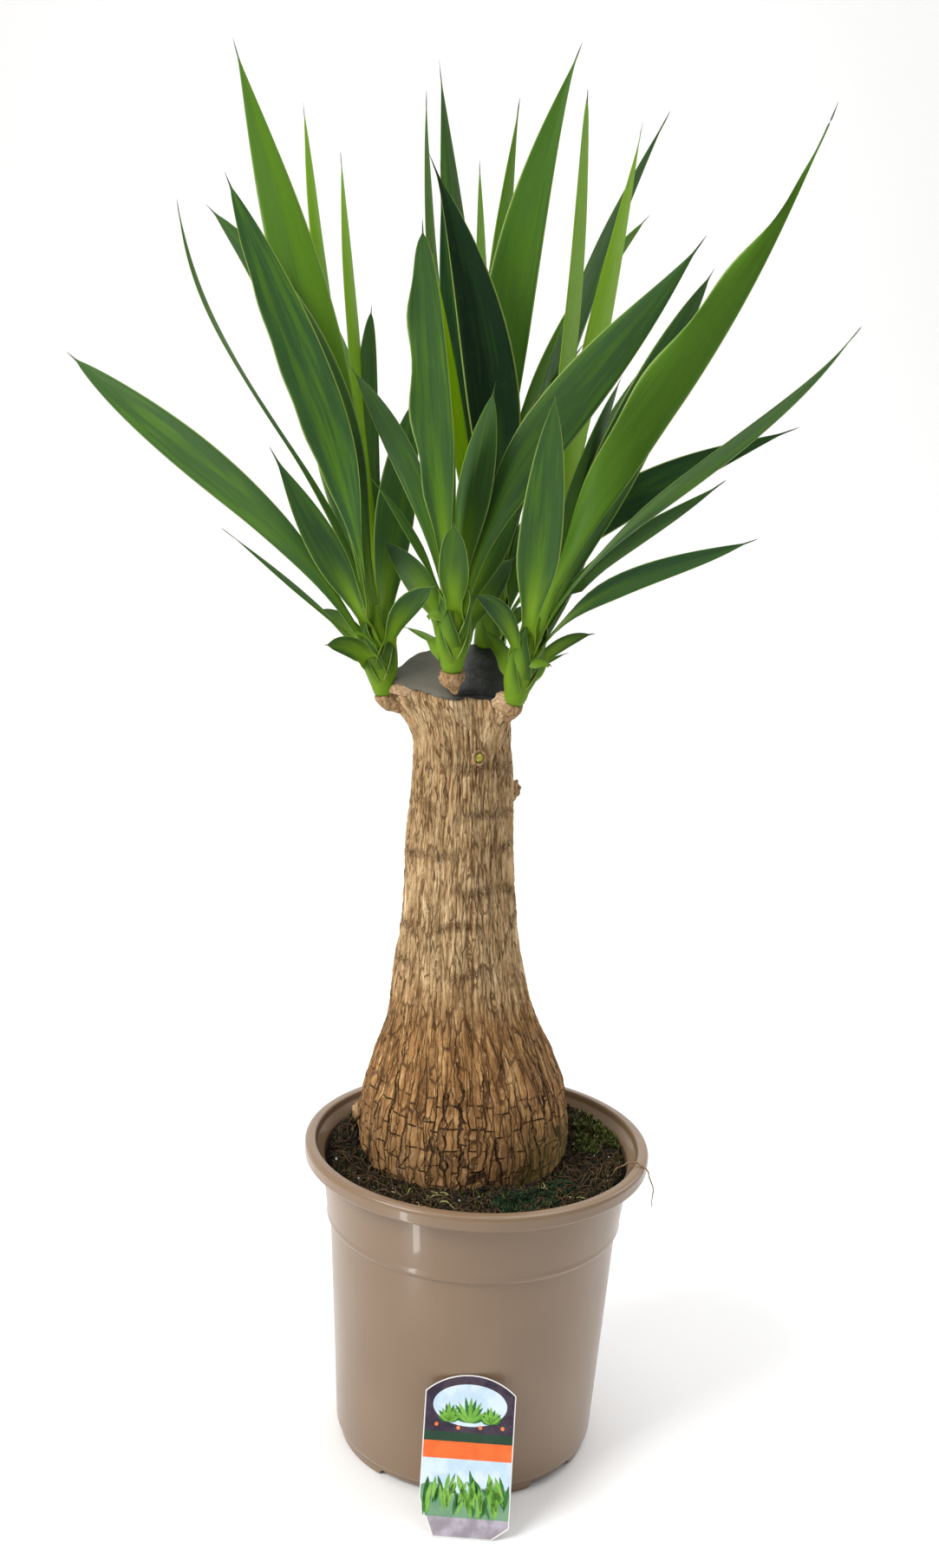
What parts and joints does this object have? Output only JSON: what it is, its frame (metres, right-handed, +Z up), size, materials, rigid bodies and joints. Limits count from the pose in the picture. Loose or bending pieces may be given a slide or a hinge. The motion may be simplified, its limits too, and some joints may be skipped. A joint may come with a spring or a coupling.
{
  "type": "potted yucca",
  "caption": "Potted yucca with a swollen woody trunk, four leafy shoots, soil, a nursery pot and a blank-faced plant label.",
  "frame": {"origin": "where the pot's axis meets the surface that the pot stands on", "axes": "+Z up the pot's axis, -Y towards the plant label"},
  "size_m": [0.51, 0.4524, 0.96],
  "materials": {
    "pot": "glossy taupe moulded plastic",
    "soil": "crumbly potting mix",
    "bark": "cracked corky bark",
    "wax": "dark satin sealing wax",
    "leaf": "satin leaf",
    "label": "printed plastic card"
  },
  "bodies": {
    "root": {"pot": "pot", "soil": "soil", "trunk": "bark", "wax_seal": "wax", "shoot_left": "leaf", "shoot_front": "leaf", "shoot_right": "leaf", "shoot_back": "leaf", "plant_label": "label"}
  },
  "joints": []
}
